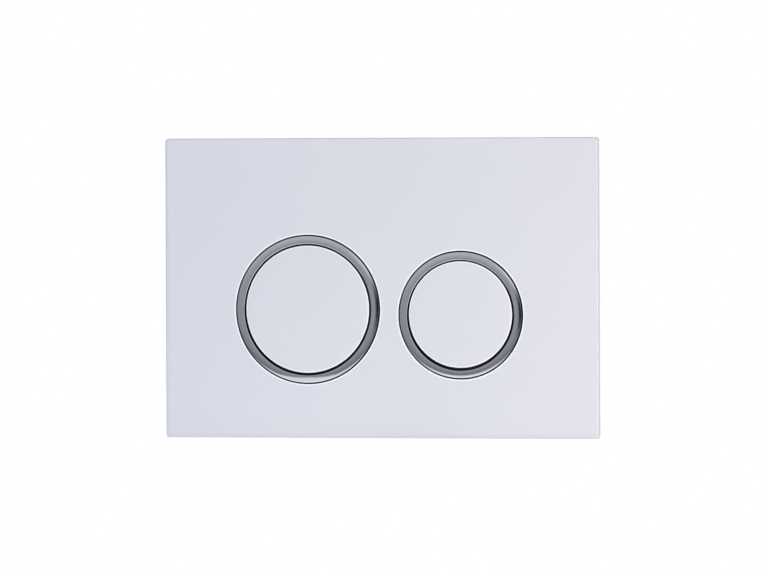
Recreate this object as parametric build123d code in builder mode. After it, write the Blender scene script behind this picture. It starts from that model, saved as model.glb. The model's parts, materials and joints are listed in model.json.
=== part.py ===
from build123d import *
from math import cos, radians, sin
import os

os.makedirs("parts", exist_ok=True)

# A wall plate with two round push buttons for a concealed cistern.
# X runs to the right, Y into the wall and Z up. The wall's surface is the plane Y = 0.
# A level is a distance in front of the wall, so a level behind the wall is negative.

# Cover plate
left_margin = 34.8
right_margin = 36.45
top_margin = 45.8
bottom_margin = 25.5
land_between_holes = 9.05
plate_depth = 12.0
slab_thickness = 3.5
front_wall = 2.5
plate_corner_radius = 1.6
plate_edge_round = 0.7
hole_edge_round = 0.25
skirt_inset = 3.0
skirt_wall = 2.2
cover_rib_wall = 1.2
cover_rib_height = 2.4
cover_rib_spacing = 30.0
collar_wall = 1.5
collar_gap_to_flange = 0.5
collar_end_gap = 1.0

# Buttons, one for a full flush and a smaller one for a half flush
full_hole_radius = 35.35
half_hole_radius = 30.35
half_button_drop = 2.65
button_travel = 5.0
running_gap = 0.5
ring_width = 3.85
disc_groove = 0.75
seat_gap = 0.2
fit_gap = 0.1

# Chromed ring
ring_side_above_plate = 0.1
ring_rise = 0.5
ring_bow_radius = 12.0
ring_edge_round = 0.12
ring_skirt_wall = 1.4
ring_inner_wall = 1.2
ring_groove_below_side = 0.8
ring_lip_depth = 2.0

# White disc
disc_below_ring = 0.1
disc_roof = 1.8
disc_skirt_wall = 1.6
disc_edge_round = 0.45

# Plunger behind ring and disc
flange_overlap = 1.5
flange_thickness = 1.8
inner_rim_wall = 1.5
plunger_top_gap = 0.4
plunger_rib_wall = 1.5
plunger_rib_count = 6
spring_boss_wall = 2.4
spring_boss_height = 1.4
stem_radius = 5.0
stem_tail = 2.0
stem_bore_spare = 1.0

# Return spring
spring_length = 19.5
spring_radius = 9.0
spring_wire_radius = 0.6
spring_turns = 6.5
spring_end_gap = 0.05

# Rear carrier with spring pockets and guide sleeves
carrier_plate = 2.0
carrier_lug_radius = 5.0
carrier_rim_wall = 1.6
carrier_rib_wall = 1.6
carrier_rib_height = 3.0
pocket_wall = 1.5
pocket_clearance = 1.4
pocket_floor = 2.0
sleeve_wall = 2.1
sleeve_clearance = 0.05
sleeve_front_gap = 1.5
sleeve_tail = 3.0
window_slot_width = 7.0
window_slot_arc = 52.0
window_slot_radius = 20.0

# Rubber stop pads on the carrier
pad_radius = 2.5
pad_stand = 0.9
pad_recess = 0.5
pad_edge_round = 0.45
pad_circle_radius = 27.0
pad_angles = (90.0, 210.0, 330.0)
pad_stop_gap = 0.1

# Carrier screws and their bosses in the cover plate
screw_shank_radius = 1.4
screw_head_radius = 2.9
screw_head_height = 1.9
screw_head_round = 0.6
screw_length = 8.0
screw_tip_chamfer = 0.7
screw_hole_clearance = 0.3
boss_radius = 3.6
boss_tip_gap = 1.0
boss_beyond_collar = 7.0
boss_angle = 45.0
middle_boss_rise = 28.0

# Mounting frame
frame_front_level = 1.0
frame_plate = 2.5
frame_depth = 9.0
frame_inner_wall = 1.5
frame_outer_wall = 2.0
frame_side_rail = 15.0
frame_top_rail = 9.0
frame_side_gap = 6.0
frame_top_gap = 4.6
frame_corner_radius = 4.0
frame_rib_wall = 1.5
frame_rib_spacing = 32.0

# Snap hooks that hold the cover plate on the frame
hook_width = 14.0
hook_wall = 1.8
hook_barb = 1.2
hook_barb_land = 0.8
hook_tip_length = 3.2
hook_half_spacing = 55.0
hook_from_window = 3.4
hook_seat_gap = 0.1
hook_side_gap = 0.4

# Distance bolts with washers and nuts
bolt_radius = 3.0
bolt_end_radius = 2.5
bolt_reach = 46.0
bolt_end_length = 16.0
bolt_head_radius = 6.4
bolt_head_height = 3.5
bolt_head_flutes = 12
bolt_flute_radius = 0.9
bolt_driver_slot_width = 1.4
bolt_driver_slot_depth = 1.5
bolt_slot_clearance = 0.25
bolt_slot_travel = 6.0
bolt_fit_gap = 0.05
washer_radius = 6.0
washer_thickness = 1.0
bolt_nut_across_flats = 10.0
bolt_nut_height = 5.0
bolt_tip_chamfer = 0.6

# Push rods and their lock nuts
rod_radius = 2.5
rod_reach = 62.0
rod_spigot_radius = 2.0
rod_spigot_length = 15.0
rod_insertion = 16.0
rod_fit_gap = 0.05
rod_tip_chamfer = 0.5
lock_nut_across_flats = 9.0
lock_nut_height = 3.5

# Sizes of the plate that follow from the holes and the margins
plate_width = left_margin + 2 * full_hole_radius + land_between_holes + 2 * half_hole_radius + right_margin
plate_height = top_margin + 2 * full_hole_radius + bottom_margin
full_x = -plate_width / 2 + left_margin + full_hole_radius
full_z = -plate_height / 2 + bottom_margin + full_hole_radius
half_x = full_x + full_hole_radius + land_between_holes + half_hole_radius
half_z = full_z - half_button_drop
buttons = (
    ("full_flush", full_x, full_z, full_hole_radius),
    ("half_flush", half_x, half_z, half_hole_radius),
)

# Levels of the plate, the carrier, the frame and the buttons at rest
slab_back = plate_depth - slab_thickness
inner_face = plate_depth - front_wall
flange_front = inner_face - seat_gap
flange_rear = flange_front - flange_thickness
pad_front = flange_rear - button_travel - pad_stop_gap
carrier_front = pad_front - pad_stand
carrier_rear = carrier_front - carrier_plate
carrier_rib_rear = carrier_rear - carrier_rib_height
pocket_floor_front = flange_rear - spring_length
pocket_rear = pocket_floor_front - pocket_floor
sleeve_front = carrier_front - sleeve_front_gap
sleeve_rear = pocket_rear - sleeve_tail
stem_rear = sleeve_rear - stem_tail
rod_front = stem_rear + rod_insertion
frame_plate_rear = frame_front_level - frame_plate
frame_rear = frame_front_level - frame_depth
hook_barb_front = frame_plate_rear - hook_seat_gap
ring_side_top = plate_depth + ring_side_above_plate
ring_crest = ring_side_top + ring_rise
ring_lip_bottom = ring_crest - ring_lip_depth
groove_top = ring_side_top - ring_groove_below_side
disc_front = ring_crest - disc_below_ring
disc_underside = disc_front - disc_roof

# Plan sizes that follow the buttons
skirt_width = plate_width - 2 * skirt_inset
skirt_height = plate_height - 2 * skirt_inset
cavity_width = skirt_width - 2 * skirt_wall
cavity_height = skirt_height - 2 * skirt_wall
sleeve_bore = stem_radius + sleeve_clearance
pocket_bore = spring_radius + spring_wire_radius + pocket_clearance


def flange_radius(hole_radius):
    return hole_radius + flange_overlap


def collar_bore(hole_radius):
    return flange_radius(hole_radius) + collar_gap_to_flange


def boss_distance(hole_radius):
    return collar_bore(hole_radius) + collar_wall + boss_beyond_collar


def wall_plane(level):
    return Plane.XZ.offset(level)


def axis_plane(x, z):
    # Local x is the distance from the axis through (x, z), and local y is the level
    return Plane(origin=(x, 0, z), x_dir=(1, 0, 0), z_dir=(0, 0, -1))


def level_axis(x, z):
    return Axis((x, 0, z), (0, -1, 0))


boss_shift_full = boss_distance(full_hole_radius) * sin(radians(boss_angle))
boss_shift_half = boss_distance(half_hole_radius) * sin(radians(boss_angle))
middle_x = full_x + full_hole_radius + land_between_holes / 2
middle_z = (full_z + half_z) / 2
screw_places = [
    (full_x - boss_shift_full, full_z + boss_shift_full),
    (full_x - boss_shift_full, full_z - boss_shift_full),
    (middle_x, middle_z + middle_boss_rise),
    (middle_x, middle_z - middle_boss_rise),
    (half_x + boss_shift_half, half_z + boss_shift_half),
    (half_x + boss_shift_half, half_z - boss_shift_half),
]
carrier_left = -full_x + boss_shift_full + carrier_lug_radius
carrier_right = half_x + boss_shift_half + carrier_lug_radius
carrier_low = -full_z + boss_shift_full + carrier_lug_radius
window_width = 2 * (max(carrier_left, carrier_right) + frame_side_gap)
window_height = 2 * (carrier_low + frame_top_gap)
frame_width = window_width + 2 * frame_side_rail
frame_height = window_height + 2 * frame_top_rail
bolt_x = (window_width / 2 + frame_inner_wall + frame_width / 2 - frame_outer_wall) / 2
bolt_slot_radius = bolt_radius + bolt_slot_clearance
hook_inner = window_height / 2 + hook_from_window
hook_outer = hook_inner + hook_wall
hook_places = [(-hook_half_spacing, 1), (hook_half_spacing, 1), (-hook_half_spacing, -1), (hook_half_spacing, -1)]

# Cover plate: a flat slab with a set-back skirt, moulded hollow with ribs, collars, bosses and hooks
with BuildPart() as cover_plate:
    with BuildSketch(wall_plane(slab_back)):
        RectangleRounded(plate_width, plate_height, plate_corner_radius)
    extrude(amount=slab_thickness)
    fillet(cover_plate.faces().sort_by(Axis.Y)[0].edges(), plate_edge_round)
    with BuildSketch(wall_plane(0)):
        RectangleRounded(skirt_width, skirt_height, plate_corner_radius)
    extrude(amount=slab_back)
    with BuildSketch(wall_plane(0)):
        RectangleRounded(cavity_width, cavity_height, plate_corner_radius)
    extrude(amount=inner_face, mode=Mode.SUBTRACT)
    rib_columns = int(cavity_width / 2 / cover_rib_spacing)
    rib_rows = int(cavity_height / 2 / cover_rib_spacing)
    with BuildSketch(wall_plane(inner_face)):
        with GridLocations(cover_rib_spacing, 1, 2 * rib_columns + 1, 1):
            Rectangle(cover_rib_wall, cavity_height)
        with GridLocations(1, cover_rib_spacing, 1, 2 * rib_rows + 1):
            Rectangle(cavity_width, cover_rib_wall)
    extrude(amount=-cover_rib_height)
    with BuildSketch(wall_plane(carrier_front + collar_end_gap)):
        for name, x, z, hole_radius in buttons:
            with Locations((x, z)):
                Circle(collar_bore(hole_radius) + collar_wall)
    extrude(amount=inner_face - carrier_front - collar_end_gap)
    with BuildSketch(wall_plane(carrier_front)):
        with Locations(screw_places):
            Circle(boss_radius)
    extrude(amount=inner_face - carrier_front)
    with BuildSketch(wall_plane(carrier_front)):
        for name, x, z, hole_radius in buttons:
            with Locations((x, z)):
                Circle(collar_bore(hole_radius))
    extrude(amount=inner_face - carrier_front, mode=Mode.SUBTRACT)
    with BuildSketch(wall_plane(inner_face)):
        for name, x, z, hole_radius in buttons:
            with Locations((x, z)):
                Circle(hole_radius)
    extrude(amount=front_wall, mode=Mode.SUBTRACT)
    hole_rims = cover_plate.edges().filter_by(GeomType.CIRCLE).group_by(Axis.Y)[0]
    fillet(hole_rims.filter_by(lambda edge: edge.radius > plate_corner_radius), hole_edge_round)
    with BuildSketch(wall_plane(carrier_front)):
        with Locations(screw_places):
            Circle(screw_shank_radius + fit_gap / 2)
    extrude(amount=inner_face - carrier_front - boss_tip_gap, mode=Mode.SUBTRACT)
    for x, side in hook_places:
        with BuildSketch(Plane.YZ.offset(x - hook_width / 2)):
            with BuildLine():
                Polyline(
                    (-inner_face, side * hook_inner),
                    (-inner_face, side * hook_outer),
                    (-hook_barb_front, side * hook_outer),
                    (-hook_barb_front, side * (hook_outer + hook_barb)),
                    (-hook_barb_front + hook_barb_land, side * (hook_outer + hook_barb)),
                    (-hook_barb_front + hook_barb_land + hook_tip_length, side * (hook_inner + hook_wall / 2)),
                    (-hook_barb_front + hook_barb_land + hook_tip_length, side * hook_inner),
                    close=True,
                )
            make_face()
        extrude(amount=hook_width)
cover_plate.part.label = "cover_plate"
export_step(cover_plate.part, "parts/cover_plate.step")

# Mounting frame: a channel-section frame in the wall opening, with hook slots and bolt slots
with BuildPart() as mounting_frame:
    with BuildSketch(wall_plane(frame_rear)):
        RectangleRounded(frame_width, frame_height, frame_corner_radius)
        RectangleRounded(window_width, window_height, frame_corner_radius, mode=Mode.SUBTRACT)
    extrude(amount=frame_depth)
    channel_outer_width = frame_width - 2 * frame_outer_wall
    channel_outer_height = frame_height - 2 * frame_outer_wall
    channel_inner_width = window_width + 2 * frame_inner_wall
    channel_inner_height = window_height + 2 * frame_inner_wall
    channel_outer_corner = frame_corner_radius - frame_outer_wall
    channel_inner_corner = frame_corner_radius + frame_inner_wall
    with BuildSketch(wall_plane(frame_rear)):
        RectangleRounded(channel_outer_width, channel_outer_height, channel_outer_corner)
        RectangleRounded(channel_inner_width, channel_inner_height, channel_inner_corner, mode=Mode.SUBTRACT)
        with GridLocations(frame_rib_spacing, frame_height, int(frame_width / frame_rib_spacing), 1):
            Rectangle(frame_rib_wall, frame_height + frame_rib_wall, mode=Mode.SUBTRACT)
        with GridLocations(frame_width, frame_rib_spacing, 1, int(window_height / frame_rib_spacing / 2) * 2):
            Rectangle(frame_width + frame_rib_wall, frame_rib_wall, mode=Mode.SUBTRACT)
    extrude(amount=frame_depth - frame_plate, mode=Mode.SUBTRACT)
    slot_low = hook_inner - hook_barb - hook_side_gap
    slot_high = hook_outer + hook_side_gap
    with BuildSketch(wall_plane(frame_plate_rear)):
        for x, side in hook_places:
            with Locations((x, side * (slot_low + slot_high) / 2)):
                Rectangle(hook_width + 2 * hook_side_gap, slot_high - slot_low)
        with Locations((-bolt_x, 0), (bolt_x, 0)):
            SlotCenterToCenter(bolt_slot_travel, 2 * bolt_slot_radius, rotation=90)
    extrude(amount=frame_plate, mode=Mode.SUBTRACT)
mounting_frame.part.label = "mounting_frame"
export_step(mounting_frame.part, "parts/mounting_frame.step")

# Outline of the rear carrier: a hull around both flanges and the screw lugs
with BuildSketch() as carrier_outline:
    for name, x, z, hole_radius in buttons:
        with Locations((x, z)):
            Circle(flange_radius(hole_radius))
    with Locations(screw_places):
        Circle(carrier_lug_radius)
    make_hull()
with BuildSketch() as carrier_inside:
    add(carrier_outline.sketch)
    offset(amount=-carrier_rim_wall)

# Rear carrier: a ribbed plate with a spring pocket and a guide sleeve for each button
with BuildPart() as rear_carrier:
    with BuildSketch(wall_plane(carrier_rear)):
        add(carrier_outline.sketch)
    extrude(amount=carrier_plate)
    with BuildSketch(wall_plane(carrier_rib_rear)):
        for name, x, z, hole_radius in buttons:
            with Locations((x, z)):
                Rectangle(carrier_rib_wall, plate_height)
                Rectangle(plate_width, carrier_rib_wall)
        add(carrier_inside.sketch, mode=Mode.INTERSECT)
    extrude(amount=carrier_rib_height)
    with BuildSketch(wall_plane(carrier_rib_rear)):
        add(carrier_outline.sketch)
        add(carrier_inside.sketch, mode=Mode.SUBTRACT)
    extrude(amount=carrier_rib_height)
    with BuildSketch(wall_plane(pocket_rear)):
        for name, x, z, hole_radius in buttons:
            with Locations((x, z)):
                Circle(pocket_bore + pocket_wall)
    extrude(amount=carrier_rear - pocket_rear)
    with BuildSketch(wall_plane(pocket_floor_front)):
        for name, x, z, hole_radius in buttons:
            with Locations((x, z)):
                Circle(pocket_bore)
    extrude(amount=carrier_front - pocket_floor_front, mode=Mode.SUBTRACT)
    with BuildSketch(wall_plane(sleeve_rear)):
        for name, x, z, hole_radius in buttons:
            with Locations((x, z)):
                Circle(sleeve_bore + sleeve_wall)
    extrude(amount=sleeve_front - sleeve_rear)
    with BuildSketch(wall_plane(sleeve_rear)):
        for name, x, z, hole_radius in buttons:
            with Locations((x, z)):
                Circle(sleeve_bore)
    extrude(amount=sleeve_front - sleeve_rear, mode=Mode.SUBTRACT)
    with BuildSketch(wall_plane(carrier_rear)):
        for name, x, z, hole_radius in buttons:
            with Locations((x, z)):
                for quarter in range(4):
                    slot_middle = 90 * quarter + 45
                    slot_line = Edge.make_circle(
                        window_slot_radius,
                        start_angle=slot_middle - window_slot_arc / 2,
                        end_angle=slot_middle + window_slot_arc / 2,
                    )
                    SlotArc(slot_line, window_slot_width)
    extrude(amount=carrier_plate, mode=Mode.SUBTRACT)
    with BuildSketch(wall_plane(carrier_rear)):
        with Locations(screw_places):
            Circle(screw_shank_radius + screw_hole_clearance)
    extrude(amount=carrier_plate, mode=Mode.SUBTRACT)
    with BuildSketch(wall_plane(carrier_front)):
        for name, x, z, hole_radius in buttons:
            for angle in pad_angles:
                pad_x = x + pad_circle_radius * cos(radians(angle))
                pad_z = z + pad_circle_radius * sin(radians(angle))
                with Locations((pad_x, pad_z)):
                    Circle(pad_radius + fit_gap)
    extrude(amount=-pad_recess, mode=Mode.SUBTRACT)
rear_carrier.part.label = "rear_carrier"
export_step(rear_carrier.part, "parts/rear_carrier.step")

# Carrier screws: pan heads behind the carrier, shanks in the cover plate's bosses
with BuildPart() as carrier_screws:
    with BuildSketch(wall_plane(carrier_rear)):
        with Locations(screw_places):
            Circle(screw_head_radius)
    extrude(amount=-screw_head_height)
    fillet(carrier_screws.edges().filter_by(GeomType.CIRCLE).group_by(Axis.Y)[-1], screw_head_round)
    with BuildSketch(wall_plane(carrier_rear)):
        with Locations(screw_places):
            Circle(screw_shank_radius)
    extrude(amount=screw_length)
    chamfer(carrier_screws.edges().filter_by(GeomType.CIRCLE).group_by(Axis.Y)[0], screw_tip_chamfer)
carrier_screws.part.label = "carrier_screws"
export_step(carrier_screws.part, "parts/carrier_screws.step")

# Stop pads: rubber buttons pressed into the carrier, where the plungers come to rest when pushed
with BuildPart() as stop_pads:
    with BuildSketch(wall_plane(carrier_front - pad_recess)):
        for name, x, z, hole_radius in buttons:
            for angle in pad_angles:
                pad_x = x + pad_circle_radius * cos(radians(angle))
                pad_z = z + pad_circle_radius * sin(radians(angle))
                with Locations((pad_x, pad_z)):
                    Circle(pad_radius)
    extrude(amount=pad_recess + pad_stand)
    fillet(stop_pads.edges().filter_by(GeomType.CIRCLE).group_by(Axis.Y)[0], pad_edge_round)
stop_pads.part.label = "stop_pads"
export_step(stop_pads.part, "parts/stop_pads.step")

# Distance bolts, with a washer in front of the frame and a nut behind its plate
washer_front = frame_front_level + washer_thickness
for side, x in (("left", -bolt_x), ("right", bolt_x)):
    with BuildPart() as distance_bolt:
        with BuildSketch(wall_plane(washer_front)):
            with Locations((x, 0)):
                Circle(bolt_head_radius)
                with PolarLocations(bolt_head_radius, bolt_head_flutes):
                    Circle(bolt_flute_radius, mode=Mode.SUBTRACT)
        extrude(amount=bolt_head_height)
        with BuildSketch(wall_plane(washer_front + bolt_head_height)):
            with Locations((x, 0)):
                Rectangle(2 * bolt_head_radius, bolt_driver_slot_width)
        extrude(amount=-bolt_driver_slot_depth, mode=Mode.SUBTRACT)
        with BuildSketch(wall_plane(washer_front)):
            with Locations((x, 0)):
                Circle(bolt_radius)
        extrude(amount=-(washer_front + bolt_reach - bolt_end_length))
        with BuildSketch(wall_plane(bolt_end_length - bolt_reach)):
            with Locations((x, 0)):
                Circle(bolt_end_radius)
        extrude(amount=-bolt_end_length)
        chamfer(distance_bolt.edges().filter_by(GeomType.CIRCLE).group_by(Axis.Y)[-1], bolt_tip_chamfer)
    distance_bolt.part.label = f"{side}_distance_bolt"
    export_step(distance_bolt.part, f"parts/{side}_distance_bolt.step")

    with BuildPart() as bolt_washer:
        with BuildSketch(wall_plane(frame_front_level)):
            with Locations((x, 0)):
                Circle(washer_radius)
                Circle(bolt_slot_radius, mode=Mode.SUBTRACT)
        extrude(amount=washer_thickness)
    bolt_washer.part.label = f"{side}_bolt_washer"
    export_step(bolt_washer.part, f"parts/{side}_bolt_washer.step")

    with BuildPart() as bolt_nut:
        with BuildSketch(wall_plane(frame_plate_rear)):
            with Locations((x, 0)):
                RegularPolygon(bolt_nut_across_flats / 2, 6, major_radius=False, rotation=30)
                Circle(bolt_radius + bolt_fit_gap, mode=Mode.SUBTRACT)
        extrude(amount=-bolt_nut_height)
    bolt_nut.part.label = f"{side}_bolt_nut"
    export_step(bolt_nut.part, f"parts/{side}_bolt_nut.step")

# Buttons: ring, disc, plunger, return spring, push rod and lock nut on one axis each
for name, x, z, hole_radius in buttons:
    ring_outer = hole_radius - running_gap
    ring_inner = ring_outer - ring_width
    groove_inner = ring_inner + ring_inner_wall
    groove_outer = ring_outer - ring_skirt_wall

    with BuildPart() as ring:
        with BuildSketch(axis_plane(x, z)):
            with BuildLine():
                RadiusArc((ring_inner, ring_crest), (ring_outer, ring_side_top), ring_bow_radius)
                Polyline(
                    (ring_inner, ring_crest),
                    (ring_inner, ring_lip_bottom),
                    (groove_inner, ring_lip_bottom),
                    (groove_inner, groove_top),
                    (groove_outer, groove_top),
                    (groove_outer, flange_front),
                    (ring_outer, flange_front),
                    (ring_outer, ring_side_top),
                )
            make_face()
        revolve(axis=level_axis(x, z))
        fillet(ring.edges().filter_by(GeomType.CIRCLE).group_by(Axis.Y)[0], ring_edge_round)
    ring.part.label = f"{name}_ring"
    export_step(ring.part, f"parts/{name}_ring.step")

    disc_radius = ring_inner - disc_groove
    disc_skirt_inner = disc_radius - disc_skirt_wall

    with BuildPart() as disc:
        with BuildSketch(wall_plane(flange_front)):
            with Locations((x, z)):
                Circle(disc_radius)
        extrude(amount=disc_front - flange_front)
        fillet(disc.faces().sort_by(Axis.Y)[0].edges(), disc_edge_round)
        with BuildSketch(wall_plane(flange_front)):
            with Locations((x, z)):
                Circle(disc_skirt_inner)
        extrude(amount=disc_underside - flange_front, mode=Mode.SUBTRACT)
    disc.part.label = f"{name}_disc"
    export_step(disc.part, f"parts/{name}_disc.step")

    inner_rim_outer = disc_skirt_inner - fit_gap
    with BuildPart() as plunger:
        with BuildSketch(wall_plane(flange_rear)):
            with Locations((x, z)):
                Circle(flange_radius(hole_radius))
        extrude(amount=flange_thickness)
        with BuildSketch(wall_plane(flange_front)):
            with Locations((x, z)):
                Circle(groove_outer - fit_gap)
                Circle(groove_inner + fit_gap, mode=Mode.SUBTRACT)
        extrude(amount=groove_top - fit_gap - flange_front)
        with BuildSketch(wall_plane(flange_front)):
            with Locations((x, z)):
                Circle(inner_rim_outer)
                Circle(inner_rim_outer - inner_rim_wall, mode=Mode.SUBTRACT)
                with PolarLocations(inner_rim_outer / 2, plunger_rib_count):
                    Rectangle(inner_rim_outer - inner_rim_wall, plunger_rib_wall)
                Circle(stem_radius)
        extrude(amount=disc_underside - plunger_top_gap - flange_front)
        with BuildSketch(wall_plane(flange_rear)):
            with Locations((x, z)):
                Circle(stem_radius + spring_boss_wall)
        extrude(amount=-spring_boss_height)
        with BuildSketch(wall_plane(stem_rear)):
            with Locations((x, z)):
                Circle(stem_radius)
        extrude(amount=flange_rear - stem_rear)
        with BuildSketch(wall_plane(stem_rear)):
            with Locations((x, z)):
                Circle(rod_radius + rod_fit_gap)
        extrude(amount=rod_insertion + stem_bore_spare, mode=Mode.SUBTRACT)
    plunger.part.label = f"{name}_plunger"
    export_step(plunger.part, f"parts/{name}_plunger.step")

    spring_start = pocket_floor_front + spring_end_gap + spring_wire_radius
    spring_height = spring_length - 2 * (spring_end_gap + spring_wire_radius)
    with BuildPart() as spring:
        with BuildLine() as coil_line:
            Helix(
                spring_height / spring_turns,
                spring_height,
                spring_radius,
                center=(x, -spring_start, z),
                direction=(0, -1, 0),
            )
        with BuildSketch(Plane(coil_line.line @ 0, z_dir=coil_line.line % 0)):
            Circle(spring_wire_radius)
        sweep(path=coil_line.line, is_frenet=True)
    spring.part.label = f"{name}_spring"
    export_step(spring.part, f"parts/{name}_spring.step")

    with BuildPart() as push_rod:
        with BuildSketch(wall_plane(rod_front)):
            with Locations((x, z)):
                Circle(rod_radius)
        extrude(amount=-(rod_front + rod_reach - rod_spigot_length))
        with BuildSketch(wall_plane(rod_spigot_length - rod_reach)):
            with Locations((x, z)):
                Circle(rod_spigot_radius)
        extrude(amount=-rod_spigot_length)
        chamfer(push_rod.edges().filter_by(GeomType.CIRCLE).group_by(Axis.Y)[-1], rod_tip_chamfer)
    push_rod.part.label = f"{name}_push_rod"
    export_step(push_rod.part, f"parts/{name}_push_rod.step")

    with BuildPart() as lock_nut:
        with BuildSketch(wall_plane(stem_rear)):
            with Locations((x, z)):
                RegularPolygon(lock_nut_across_flats / 2, 6, major_radius=False)
                Circle(rod_radius + rod_fit_gap, mode=Mode.SUBTRACT)
        extrude(amount=-lock_nut_height)
    lock_nut.part.label = f"{name}_lock_nut"
    export_step(lock_nut.part, f"parts/{name}_lock_nut.step")
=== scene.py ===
import json
from math import atan2, cos, degrees, hypot, pi, radians, sin, sqrt, tan, tau

import bpy
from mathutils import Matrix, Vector


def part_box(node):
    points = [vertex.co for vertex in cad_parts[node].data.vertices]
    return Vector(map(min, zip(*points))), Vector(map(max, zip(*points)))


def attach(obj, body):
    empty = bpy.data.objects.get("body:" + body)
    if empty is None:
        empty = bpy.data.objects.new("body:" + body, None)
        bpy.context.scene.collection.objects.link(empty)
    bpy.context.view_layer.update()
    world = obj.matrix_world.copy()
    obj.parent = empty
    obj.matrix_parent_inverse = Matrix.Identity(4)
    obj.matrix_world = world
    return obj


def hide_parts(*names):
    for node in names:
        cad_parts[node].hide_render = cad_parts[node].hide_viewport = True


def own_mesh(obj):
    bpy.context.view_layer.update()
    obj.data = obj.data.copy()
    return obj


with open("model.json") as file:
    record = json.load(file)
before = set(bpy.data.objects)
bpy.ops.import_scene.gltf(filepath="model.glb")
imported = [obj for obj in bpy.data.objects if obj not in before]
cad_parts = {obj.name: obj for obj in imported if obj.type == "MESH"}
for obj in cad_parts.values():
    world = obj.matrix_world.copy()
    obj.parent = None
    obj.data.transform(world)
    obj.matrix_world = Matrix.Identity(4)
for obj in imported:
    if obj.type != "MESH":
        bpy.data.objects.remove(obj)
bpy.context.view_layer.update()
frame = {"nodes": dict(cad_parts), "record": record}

mm = 0.001
mergeReach = 0.002 * mm  # vertices nearer than this become one
cutterReach = 1.0 * mm  # how far a cutting tool reaches past what it cuts
nodes = frame["nodes"]
buttons = ("full_flush", "half_flush")
sides = ("left", "right")
discLift = {"full_flush": 0.12 * mm, "half_flush": 0.28 * mm}  # the discs sit slightly high in their rings


def camel(name):
    first, *rest = name.split("_")
    return first + "".join(word.capitalize() for word in rest)


def selectNothing():
    if bpy.context.object and bpy.context.object.mode != "OBJECT":
        bpy.ops.object.mode_set(mode="OBJECT")
    bpy.ops.object.select_all(action="DESELECT")


def selectOnly(*pieces):
    selectNothing()
    for piece in pieces:
        piece.select_set(True)
    bpy.context.view_layer.objects.active = pieces[0]


def namePiece(name):
    piece = bpy.context.object
    piece.name = piece.data.name = name
    return piece


def applyPlace(piece):
    selectOnly(piece)
    bpy.ops.object.transform_apply(location=True, rotation=True, scale=True)


def closeMesh(piece, merge=mergeReach):
    selectOnly(piece)
    bpy.ops.object.mode_set(mode="EDIT")
    bpy.ops.mesh.select_all(action="SELECT")
    bpy.ops.mesh.remove_doubles(threshold=merge)
    bpy.ops.mesh.fill_holes(sides=0)
    bpy.ops.mesh.select_all(action="SELECT")
    bpy.ops.mesh.normals_make_consistent(inside=False)
    bpy.ops.object.mode_set(mode="OBJECT")


def smooth(piece, angle=35):
    selectOnly(piece)
    bpy.ops.object.shade_smooth_by_angle(angle=radians(angle))


def combine(piece, tool, operation):
    # A Boolean modifier is applied and its tool deleted
    selectOnly(piece)
    cut = piece.modifiers.new(operation.lower(), "BOOLEAN")
    cut.object = tool
    cut.operation = operation
    cut.solver = "EXACT"
    bpy.ops.object.modifier_apply(modifier=cut.name)
    selectOnly(tool)
    bpy.ops.object.delete()
    selectOnly(piece)


def joinPieces(piece, *others):
    selectOnly(piece, *others)
    bpy.ops.object.join()
    return piece


def copyPiece(piece, name, move):
    selectOnly(piece)
    bpy.ops.object.duplicate(linked=False)
    copied = namePiece(name)
    bpy.ops.transform.translate(value=move)
    applyPlace(copied)
    return copied


def turnPiece(name, x, z, outline, segments):
    # A circle is extruded from point to point of an outline of (radius, distance in front of the wall)
    selectNothing()
    radius, level = outline[0]
    bpy.ops.mesh.primitive_circle_add(
        vertices=segments, radius=radius, location=(x, -level, z), rotation=(pi / 2, 0, 0),
    )
    piece = namePiece(name)
    applyPlace(piece)
    bpy.ops.object.mode_set(mode="EDIT")
    bpy.ops.mesh.select_all(action="SELECT")
    for nextRadius, nextLevel in outline[1:]:
        bpy.ops.mesh.extrude_edges_move(TRANSFORM_OT_translate={"value": (0, level - nextLevel, 0)})
        share = nextRadius / radius
        bpy.ops.transform.resize(value=(share, 1, share), center_override=(x, -nextLevel, z))
        radius, level = nextRadius, nextLevel
    bpy.ops.object.mode_set(mode="OBJECT")
    closeMesh(piece)
    return piece


def arcPoints(centre, radius, start, end, steps):
    # Points of an arc from one angle to another, angles in degrees from the radial direction
    angles = [radians(start + (end - start) * step / steps) for step in range(steps + 1)]
    return [(centre[0] + radius * cos(angle), centre[1] + radius * sin(angle)) for angle in angles]


def screwPiece(name, x, z, start, outline, pitch, turns, steps, phase=0):
    # A line or a loop of (radius, distance behind start) is turned round the axis by the Screw modifier
    selectNothing()
    bpy.ops.mesh.primitive_plane_add(size=mm, location=(x, -start, z))
    piece = namePiece(name)
    bpy.ops.object.mode_set(mode="EDIT")
    bpy.ops.mesh.select_all(action="SELECT")
    bpy.ops.mesh.merge(type="CENTER")
    radius, behind = outline[0]
    bpy.ops.transform.translate(value=(radius, behind, 0))
    for nextRadius, nextBehind in outline[1:]:
        step = (nextRadius - radius, nextBehind - behind, 0)
        bpy.ops.mesh.extrude_vertices_move(TRANSFORM_OT_translate={"value": step})
        radius, behind = nextRadius, nextBehind
    bpy.ops.mesh.select_all(action="SELECT")
    bpy.ops.mesh.remove_doubles(threshold=mergeReach)
    bpy.ops.object.mode_set(mode="OBJECT")
    piece.rotation_euler = (0, phase, 0)
    screw = piece.modifiers.new("screw", "SCREW")
    screw.axis = "Y"
    screw.angle = tau * turns
    screw.screw_offset = pitch * turns
    screw.steps = screw.render_steps = round(steps * turns)
    screw.use_merge_vertices = True
    screw.merge_threshold = mergeReach
    bpy.ops.object.modifier_apply(modifier=screw.name)
    applyPlace(piece)
    return piece


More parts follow.
